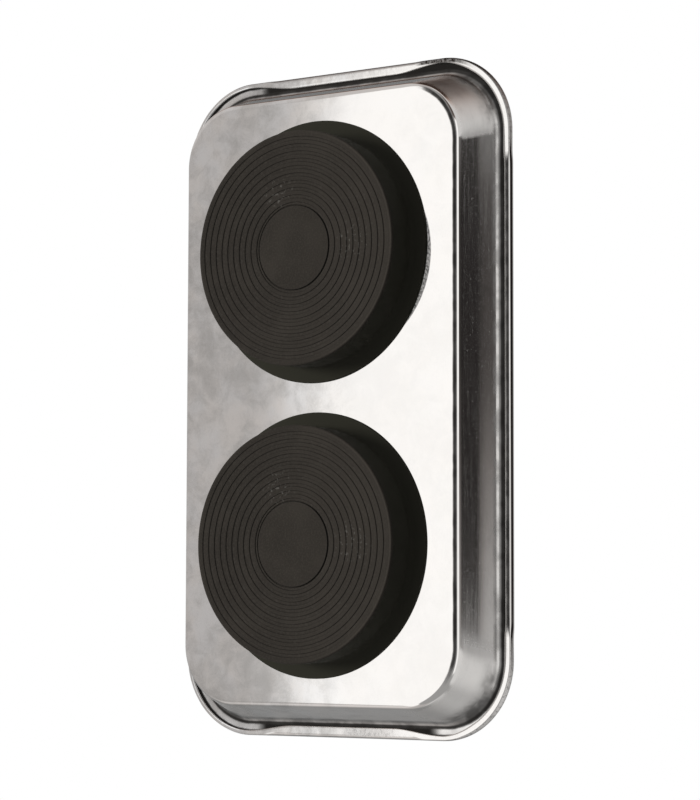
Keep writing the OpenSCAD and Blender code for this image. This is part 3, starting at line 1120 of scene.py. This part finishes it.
def dish_mesh(pan, stations, sections, places):
    """The floor with its screw dimples and the walls, as one closed mesh."""
    vertices, faces, values = swept(pan, stations, sections, False)
    count = len(sections[0])
    rings = dimple_rings(pan)
    segments = DIMPLE_SEGMENTS
    starts = []
    for place in places:
        starts.append(len(vertices))
        for radius, z in rings:
            for k in range(segments):
                angle = 2.0 * math.pi * k / segments
                x = place + radius * math.cos(angle)
                vertices.append((x, radius * math.sin(angle), pan.floor_under + z))
        for ring in range(len(rings) - 1):
            here = starts[-1] + ring * segments
            for k in range(segments):
                after = (k + 1) % segments
                faces.append((here + k, here + after, here + segments + after, here + segments + k))
    holes = [(place, 0.0, rings[0][0]) for place in places]
    for edge, ring in ((0, 0), (count - 1, len(rings) - 1)):
        indices = [j * count + edge for j in range(len(stations))]
        loops = [list(range(len(stations)))]
        for start in starts:
            loops.append(list(range(len(indices), len(indices) + segments)))
            indices += range(start + ring * segments, start + (ring + 1) * segments)
        flat = [vertices[i][:2] for i in indices]
        faces += [[indices[i] for i in triangle] for triangle in floor_fill(flat, loops, holes)]
    return sheet_mesh("dish", vertices, faces, values)


def rim_mesh(pan, stations, sections):
    """The neck, the flange and the rolled hem, as one closed ring."""
    return sheet_mesh("rim", *swept(pan, stations, sections, True))


def crimped_hem_tree():
    """Geometry Nodes: presses wrinkles across the hem where the crush value is set."""
    sizes = {"Crimp height": "Float", "Crimp pitch": "Float", "Seed": "Float", "Sheet": "Material"}
    tree, bench, given = geometry_tree("Crimped hem", sizes)

    def kept(name):
        """A value kept on the rim's points."""
        settings = {"data_type": "FLOAT"}
        return bench.add("GeometryNodeInputNamedAttribute", settings, {"Name": name}, "Attribute")

    pitch = given.out("Crimp pitch")
    along = kept("run") / pitch
    across = kept("rise") / pitch
    inputs = {
        "Vector": bench.join(along, across * 0.35), "W": given.out("Seed"),
        "Scale": 1.0, "Detail": 2.0,
    }
    wrinkle = bench.add("ShaderNodeTexNoise", {"noise_dimensions": "4D"}, inputs)
    lift = (wrinkle - 0.5) * 2.0 * kept("crush") * given.out("Crimp height")
    inputs = {"Geometry": given.out("Geometry"), "Offset": bench.join(0.0, 0.0, lift)}
    moved = bench.add("GeometryNodeSetPosition", None, inputs)
    close_tree(bench, moved, given.out("Sheet"))
    return tree


# The covers


# The length over which the edges of a groove are rounded
GROOVE_CUT = 0.07 * MM


def groove(radius, width, depth):
    """Corners and cuts of one groove in the face."""
    half = width / 2.0
    floor = half * 0.85
    corners = [
        (radius - half, 0.0), (radius - floor, depth), (radius + floor, depth), (radius + half, 0.0)
    ]
    return corners, [GROOVE_CUT] * len(corners)


def cover_profile(cover):
    """The cover's section, from the middle of its face round to the middle of its pocket."""
    corners = [(0.0, 0.0), (cover.groove_first * 0.5, 0.0)]
    cuts = [0.0]
    for i in range(cover.groove_count):
        radius = cover.groove_first + i * cover.groove_pitch
        extra, trims = groove(radius, cover.groove_width, cover.groove_depth)
        if i == 0:
            slit = extra[1][0] + cover.slit_width
            deep = cover.groove_depth + cover.slit_depth
            extra[1:2] = [(extra[1][0], deep), (slit, deep), (slit, cover.groove_depth)]
            trims[1:2] = [0.0, 0.0, 0.0]
        corners += extra
        cuts += trims
    lip_under = cover.height - cover.lip_depth
    rest = (
        (cover.face_radius, 0.0, cover.face_edge),
        (cover.face_radius - cover.side_draft, cover.height - cover.flange_root, cover.fillet),
        (cover.flange_radius, cover.height - cover.flange_rim, 0.2 * MM),
        (cover.flange_radius, cover.height, 0.12 * MM),
        (cover.lip_radius, cover.height, 0.1 * MM),
        (cover.lip_radius, lip_under, 0.0),
        (cover.pocket_radius, lip_under, 0.0),
        (cover.pocket_radius, cover.face_depth, 0.0),
    )
    for r, z, cut in rest:
        corners.append((r, z))
        cuts.append(cut)
    corners.append((0.0, cover.face_depth))
    return rounded(corners, cuts, 3)


def turned_cover_tree():
    """Geometry Nodes: turns a profile round a base's axis and sets it at its place."""
    sizes = {"Turning radius": "Float", "Segments": "Int", "Place": "Vector", "Rubber": "Material"}
    tree, bench, given = geometry_tree("Turned cover", sizes)
    profile = bench.add("GeometryNodeMeshToCurve", None, {"Mesh": given.out("Geometry")})
    inputs = {"Radius": given.out("Turning radius"), "Resolution": given.out("Segments")}
    circle = bench.add("GeometryNodeCurvePrimitiveCircle", None, inputs)
    inputs = {"Curve": circle, "Profile Curve": profile}
    turned = bench.add("GeometryNodeCurveToMesh", None, inputs)
    settings = {"data_type": "FLOAT_VECTOR", "domain": "POINT"}
    point = bench.add("GeometryNodeInputPosition")
    inputs = {"Geometry": turned, "Name": "spun", "Value": point}
    kept = bench.add("GeometryNodeStoreNamedAttribute", settings, inputs)
    inputs = {"Geometry": kept, "Offset": given.out("Place")}
    placed = bench.add("GeometryNodeSetPosition", None, inputs)
    inputs = {"Geometry": placed, "Distance": WELD}
    welded = bench.add("GeometryNodeMergeByDistance", None, inputs)
    close_tree(bench, welded, given.out("Rubber"))
    return tree


def cover_mesh(cover, tree, place, material):
    """One turned cover. The sweep lays a profile's second axis downwards, so z is turned over."""
    turning = cover.pocket_radius
    points = [(r - turning, -z, 0.0) for r, z in cover_profile(cover)]
    profile = bpy.data.meshes.new("cover_profile")
    profile.from_pydata(points, list(zip(range(len(points) - 1), range(1, len(points)))), [])
    values = {
        "Turning radius": turning, "Segments": cover.segments,
        "Place": (place, 0.0, 0.0), "Rubber": material,
    }
    return grown(profile, tree, values)


# The screws


# Facets round a screw and up its dome, and how full the dome is
SCREW_SEGMENTS = 96
DOME_STEPS = 16
DOME_POWER = 0.8


def turned_mesh(name, profile, segments):
    """A closed shape turned round the Z axis, from (radius, height) points from axis to axis."""
    bm = bmesh.new()
    rings = []
    for radius, z in profile:
        if radius < 1e-9:
            rings.append([bm.verts.new((0.0, 0.0, z))])
            continue
        ring = []
        for k in range(segments):
            angle = 2.0 * math.pi * k / segments
            ring.append(bm.verts.new((radius * math.cos(angle), radius * math.sin(angle), z)))
        rings.append(ring)
    for lower, upper in zip(rings, rings[1:]):
        for k in range(segments):
            after = (k + 1) % segments
            corners = [lower[k % len(lower)], lower[after % len(lower)]]
            corners += [upper[after % len(upper)], upper[k % len(upper)]]
            bm.faces.new(list(dict.fromkeys(corners)))
    return closed_mesh(name, bm)


def cross_cutter(screw):
    """The cross recess as a tapered solid that reaches above the head."""
    top = screw.head_top + 0.6 * MM
    deep = screw.head_top - screw.recess_depth
    span = screw.recess_span / 2.0
    arm = screw.recess_width / 2.0
    bm = bmesh.new()

    def outline(reach, half, z):
        """The corners of the cross at one height."""
        quarter = [(reach, -half), (reach, half), (half, half)]
        corners = []
        for _ in range(4):
            corners += quarter
            quarter = [(-y, x) for x, y in quarter]
        return [bm.verts.new((x, y, z)) for x, y in corners]

    upper = outline(span * 1.12, arm * 1.15, top)
    lower = outline(span * 0.5, arm * 0.85, deep)
    for i in range(len(upper)):
        after = (i + 1) % len(upper)
        bm.faces.new((upper[i], upper[after], lower[after], lower[i]))
    bm.faces.new(upper)
    bm.faces.new(lower)
    return closed_mesh("cross_recess", bm)


def screw_mesh(screw):
    """A low domed screw with its cross recess, on the Z axis."""
    shank = screw.shank_radius
    head = screw.head_radius
    rim = screw.head_top - screw.head_depth
    dome_low = rim + screw.head_edge
    dome_rise = screw.head_top - dome_low
    profile = [(0.0, screw.tip), (shank - screw.tip_cone, screw.tip)]
    profile += [(shank, screw.tip + screw.tip_cone), (shank, rim)]
    profile += rounded([(shank + 0.4 * MM, rim), (head, rim), (head, dome_low)], [0.12 * MM], 3)
    for i in range(1, DOME_STEPS):
        t = math.pi / 2.0 * i / DOME_STEPS
        profile.append((head * math.cos(t) ** DOME_POWER, dome_low + dome_rise * math.sin(t)))
    profile.append((0.0, screw.head_top))
    blank = turned_mesh("screw_blank", profile, SCREW_SEGMENTS)
    body = bpy.data.objects.new("screw_blank", blank)
    cutter = bpy.data.objects.new("cross_recess", cross_cutter(screw))
    for made in (body, cutter):
        bpy.context.scene.collection.objects.link(made)
    cut = body.modifiers.new("Recess", "BOOLEAN")
    cut.operation = "DIFFERENCE"
    cut.solver = "EXACT"
    cut.object = cutter
    evaluated = body.evaluated_get(bpy.context.evaluated_depsgraph_get())
    result = bpy.data.meshes.new_from_object(evaluated)
    if len(result.polygons) in (0, len(blank.polygons)):
        raise RuntimeError("the cross recess was not cut")
    bpy.data.objects.remove(body)
    bpy.data.objects.remove(cutter)
    keep_values(result, "reach", [math.hypot(v.co.x, v.co.y) for v in result.vertices])
    return result


def screw_row_tree():
    """Geometry Nodes: sets one screw on each base's axis."""
    sizes = {"Count": "Int", "First": "Vector", "Step": "Vector", "Plating": "Material"}
    tree, bench, given = geometry_tree("Screw row", sizes)
    inputs = {
        "Count": given.out("Count"), "Start Location": given.out("First"),
        "Offset": given.out("Step"),
    }
    line = bench.add("GeometryNodeMeshLine", {"mode": "OFFSET"}, inputs)
    inputs = {"Points": line, "Instance": given.out("Geometry")}
    row = bench.add("GeometryNodeInstanceOnPoints", None, inputs)
    close_tree(bench, row, given.out("Plating"))
    return tree


# The studio


Card = namedtuple(
    "Card", "name level around reach soft side spread fade slant warm", defaults=(0.0, 0.0)
)
# Each card of the studio, as the polish shows it: its level, then in degrees its middle, half width
# and soft edge round the tray's length from straight below, the same three along the length, and
# last the slant of its edges and its warmth. A card with a half width of 90 there has no ends.
CARDS = (
    Card("ceiling", 0.72, 180.0, 45.0, 20.0, 0.0, 90.0, 1.0),
    Card("left wall", 0.53, -73.0, 44.0, 4.0, 0.0, 90.0, 1.0, 0.0, 0.08),
    Card("upper left glow", 0.64, -88.0, 54.0, 14.0, 42.0, 26.0, 14.0, 0.0, 0.08),
    Card("lower left glow", 0.80, -54.0, 20.0, 16.0, -42.0, 12.0, 10.0, 0.0, 0.08),
    Card("floor light", 1.23, -30.85, 5.0, 1.6, 2.0, 46.0, 8.0, 0.05),
    Card("right strip", 1.15, 73.0, 19.0, 3.0, 0.0, 38.0, 6.0),
    Card("corner dark", 0.10, 74.0, 32.0, 10.0, 63.0, 24.0, 8.0, 0.0, 0.4),
    Card("wall shade", 0.02, 110.5, 18.5, 2.0, 5.8, 6.3, 0.8, 0.0, 0.2),
    Card("upper wall", 0.055, 103.0, 11.0, 5.0, 5.8, 6.3, 0.8, 0.0, 0.2),
    Card("upper wall fade", 0.50, 103.0, 11.0, 5.0, -12.0, 14.0, 8.0),
    Card("upper wall end", 0.20, 106.0, 9.0, 4.0, 12.0, 2.4, 1.6),
    Card("top corner light", 0.72, 116.0, 30.0, 16.0, 51.0, 39.0, 1.6),
    Card("top corner shade", 0.032, -168.0, 56.0, 44.0, 52.0, 21.0, 12.0, 0.0, 1.0),
    Card("top wall", 0.20, -144.0, 10.0, 10.0, 18.0, 9.0, 8.0),
    Card("bottom corner light", 0.78, 108.0, 25.0, 40.0, -28.0, 25.0, 8.0),
    Card("bottom shade", 0.29, -154.0, 54.0, 70.0, -38.0, 28.0, 24.0),
)
STUDIO_BASE = 0.40
WARM_TINT = (1.45, 0.95, 0.75)


def within(off, reach, soft):
    """1 inside a reach and 0 outside it, with a soft edge; reach and edge are in degrees."""
    near = math.radians(reach - soft / 2.0)
    far = math.radians(reach + soft / 2.0)
    return 1.0 - off.between(near, far)


def card_mask(card, around, side):
    """1 on a card and 0 off it, for a direction given round and along the tray's length."""
    turned = around - math.radians(card.around)
    if card.slant:
        turned = turned - side * card.slant
    mask = within(abs(turned.math("WRAP", math.pi, -math.pi)), card.reach, card.soft)
    if card.spread < 90.0:
        mask = mask * within(abs(side - math.radians(card.side)), card.spread, card.fade)
    return mask


def studio_world(studio):
    """Soft even light on the part, light and dark cards in its polish, and white behind it."""
    world = bpy.data.worlds.new("Studio")
    world.use_nodes = True
    world.node_tree.nodes.clear()
    bench = Bench(world.node_tree)
    x, y, z = bench.split(bench.add("ShaderNodeTexCoord", None, None, "Generated"))
    around = y.math("ARCTAN2", -z)
    side = x.math("ARCSINE")
    cards = around * 0.0 + STUDIO_BASE
    warm = around * 0.0
    for card in CARDS:
        mask = card_mask(card, around, side)
        cards = cards.toward(card.level, mask)
        warm = warm.toward(card.warm, mask)
    soft_light = studio.ambient * (1.0 - y * studio.ambient_side)
    path = bench.add("ShaderNodeLightPath", None, None, "Is Camera Ray")
    polished = path.out("Is Glossy Ray").math("MAXIMUM", path.out("Is Transmission Ray"))
    level = soft_light.toward(cards, polished).toward(1.0, path)
    plain = bench.join(level, level, level)
    tint = bench.blend(plain, bench.vector("MULTIPLY", plain, WARM_TINT), warm * polished)
    background = bench.add("ShaderNodeBackground", None, {"Color": tint})
    bench.add("ShaderNodeOutputWorld", None, {"Surface": background})
    return world


def studio_lamp(name, toward, strength, spread):
    """A distant lamp that lights dull surfaces and leaves the polish to the cards."""
    data = bpy.data.lights.new(name, "SUN")
    data.energy = strength
    data.angle = spread
    lamp = bpy.data.objects.new(name, data)
    lamp.rotation_euler = Vector(toward).to_track_quat("Z", "Y").to_euler()
    lamp.visible_glossy = False
    bpy.context.scene.collection.objects.link(lamp)


def floor_material(finish):
    """Pale floor that takes the part's shadow, seen from above and clear from below."""
    material, bench, shader = new_material("Studio floor")
    grain = bench.noise(bench.place(), 40.0, 3.0, 0.5)
    tint = bench.blend(shade(finish.floor, 0.99), rgba(finish.floor), grain)
    wire(bench, shader, base_color=tint, roughness=0.9, specular_ior_level=0.1)
    clear = bench.add("ShaderNodeBsdfTransparent")
    path = bench.add("ShaderNodeLightPath", None, None, "Is Camera Ray")
    back = bench.add("ShaderNodeNewGeometry", None, None, "Backfacing")
    inputs = {0: path * (1.0 - back), 1: clear, 2: Flow(bench, shader.outputs[0])}
    mixed = bench.add("ShaderNodeMixShader", None, inputs)
    output = next(node for node in bench.tree.nodes if node.type == "OUTPUT_MATERIAL")
    bench.tree.links.new(mixed.socket, output.inputs["Surface"])
    return material


def studio_camera(studio):
    """The camera under the tray, with the tray's length upright in the picture."""
    place = Vector(studio.camera_place)
    forward = (Vector(studio.camera_target) - place).normalized()
    right = forward.cross(Vector((1.0, 0.0, 0.0))).normalized()
    up = right.cross(forward)
    roll = studio.camera_roll
    turned_right = right * math.cos(roll) + up * math.sin(roll)
    turned_up = turned_right.cross(forward)
    data = bpy.data.cameras.new("Studio camera")
    data.sensor_fit = "AUTO"
    data.sensor_width = 36.0
    data.lens = studio.focal_length
    data.clip_start = 0.01
    camera = bpy.data.objects.new("Studio camera", data)
    axes = Matrix((turned_right, turned_up, -forward)).transposed().to_4x4()
    camera.matrix_world = Matrix.Translation(place) @ axes
    bpy.context.scene.collection.objects.link(camera)
    bpy.context.scene.camera = camera


# Operators


class PARTS_TRAY_OT_press_pan(bpy.types.Operator):
    """Press the steel tray with its leaning walls, rolled hem and screw dimples"""

    bl_idname = "parts_tray.press_pan"
    bl_label = "Press Pan"

    def execute(self, context):
        tray = context.scene.parts_tray
        pan = tray.pan
        steel = stainless_sheet(tray.finish)
        stations = rim_stations(pan)
        sections = [pan_section(pan, station) for station in stations]
        places = [-tray.cover.place, tray.cover.place]
        plain_dish = dish_mesh(pan, stations, [s.dish for s in sections], places)
        dish = finished("pressed_tray", plain_dish, steel)
        plain_rim = rim_mesh(pan, stations, [s.rim for s in sections])
        values = {
            "Crimp height": pan.crimp_height, "Crimp pitch": pan.crimp_pitch,
            "Seed": HEM_SEED, "Sheet": steel,
        }
        rim = finished("rolled_rim", grown(plain_rim, crimped_hem_tree(), values))
        rim.visible_glossy = False
        for piece in (dish, rim):
            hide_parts("tray_pan")
            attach(piece, "tray")
        return {"FINISHED"}


class PARTS_TRAY_OT_mould_covers(bpy.types.Operator):
    """Mould the two grooved rubber covers"""

    bl_idname = "parts_tray.mould_covers"
    bl_label = "Mould Covers"

    def execute(self, context):
        tray = context.scene.parts_tray
        rubber = black_rubber(tray.finish, tray.cover)
        tree = turned_cover_tree()
        for side, sign in SIDES:
            mesh = cover_mesh(tray.cover, tree, sign * tray.cover.place, rubber)
            piece = finished(side + "_grooved_cover", mesh)
            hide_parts(side + "_rubber_cover")
            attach(piece, side + "_base")
            piece.visible_glossy = False
        return {"FINISHED"}


class PARTS_TRAY_OT_drive_screws(bpy.types.Operator):
    """Set a low domed screw with a cross recess in each dimple"""

    bl_idname = "parts_tray.drive_screws"
    bl_label = "Drive Screws"

    def execute(self, context):
        tray = context.scene.parts_tray
        place = tray.screw.place
        values = {
            "Count": len(SIDES), "First": (-place, 0.0, 0.0), "Step": (2.0 * place, 0.0, 0.0),
            "Plating": bright_plating(tray.finish),
        }
        mesh = grown(screw_mesh(tray.screw), screw_row_tree(), values)
        piece = finished("clamp_screws", mesh)
        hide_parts("left_clamp_screw", "right_clamp_screw")
        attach(piece, "tray")
        return {"FINISHED"}


class PARTS_TRAY_OT_finish_inner_pieces(bpy.types.Operator):
    """Give the plates, magnets, washers and nuts inside the bases their finishes"""

    bl_idname = "parts_tray.finish_inner_pieces"
    bl_label = "Finish Inner Pieces"

    def execute(self, context):
        finish = context.scene.parts_tray.finish
        zinc = zinc_plate(finish)
        ferrite = sintered_ferrite(finish)
        dressing = {
            "backing_plate": zinc, "ring_magnet": ferrite, "flat_washer": zinc,
            "lock_washer": zinc, "hex_nut": zinc,
        }
        for side, _ in SIDES:
            for piece, material in dressing.items():
                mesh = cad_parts[side + "_" + piece].data
                mesh.materials.clear()
                mesh.materials.append(material)
        return {"FINISHED"}


class PARTS_TRAY_OT_set_stage(bpy.types.Operator):
    """Set up the floor, the light and the camera"""

    bl_idname = "parts_tray.set_stage"
    bl_label = "Set Stage"

    def execute(self, context):
        tray = context.scene.parts_tray
        studio = tray.studio
        half = studio.floor_size / 2.0
        mesh = bpy.data.meshes.new("studio_floor")
        corners = [(-half, -half), (half, -half), (half, half), (-half, half)]
        mesh.from_pydata([(x, y, -studio.floor_drop) for x, y in corners], [], [(0, 1, 2, 3)])
        mesh.materials.append(floor_material(tray.finish))
        floor = bpy.data.objects.new("studio_floor", mesh)
        context.scene.collection.objects.link(floor)
        context.scene.world = studio_world(studio)
        studio_lamp("Low lamp", studio.low_lamp_toward, studio.low_lamp, studio.lamp_spread)
        studio_lamp("High lamp", studio.high_lamp_toward, studio.high_lamp, studio.lamp_spread)
        studio_camera(studio)
        context.scene.view_settings.view_transform = "Standard"
        return {"FINISHED"}


class PARTS_TRAY_PT_build(bpy.types.Panel):
    """Lists the steps that build the parts tray"""

    bl_idname = "PARTS_TRAY_PT_build"
    bl_label = "Parts Tray"
    bl_space_type = "VIEW_3D"
    bl_region_type = "UI"
    bl_category = "Parts Tray"

    def draw(self, context):
        column = self.layout.column()
        for operator in OPERATORS:
            column.operator(operator.bl_idname)
        tray = context.scene.parts_tray
        for group in (tray.pan, tray.cover, tray.screw, tray.finish, tray.studio):
            box = self.layout.box()
            for name in group.__annotations__:
                box.prop(group, name)


SETTINGS = (PanSizes, CoverSizes, ScrewSizes, Finishes, StudioSettings, PartsTray)
OPERATORS = (
    PARTS_TRAY_OT_press_pan,
    PARTS_TRAY_OT_mould_covers,
    PARTS_TRAY_OT_drive_screws,
    PARTS_TRAY_OT_finish_inner_pieces,
    PARTS_TRAY_OT_set_stage,
)
CLASSES = SETTINGS + OPERATORS + (PARTS_TRAY_PT_build,)


def register():
    """Adds the classes and the scene's settings."""
    for cls in CLASSES:
        bpy.utils.register_class(cls)
    bpy.types.Scene.parts_tray = PointerProperty(type=PartsTray)


def unregister():
    """Takes the classes and the settings away again."""
    del bpy.types.Scene.parts_tray
    for cls in reversed(CLASSES):
        bpy.utils.unregister_class(cls)


def main():
    """Builds the tray on its frame."""
    register()
    bpy.ops.parts_tray.press_pan()
    bpy.ops.parts_tray.mould_covers()
    bpy.ops.parts_tray.drive_screws()
    bpy.ops.parts_tray.finish_inner_pieces()
    bpy.ops.parts_tray.set_stage()


if __name__ == "__main__":
    main()
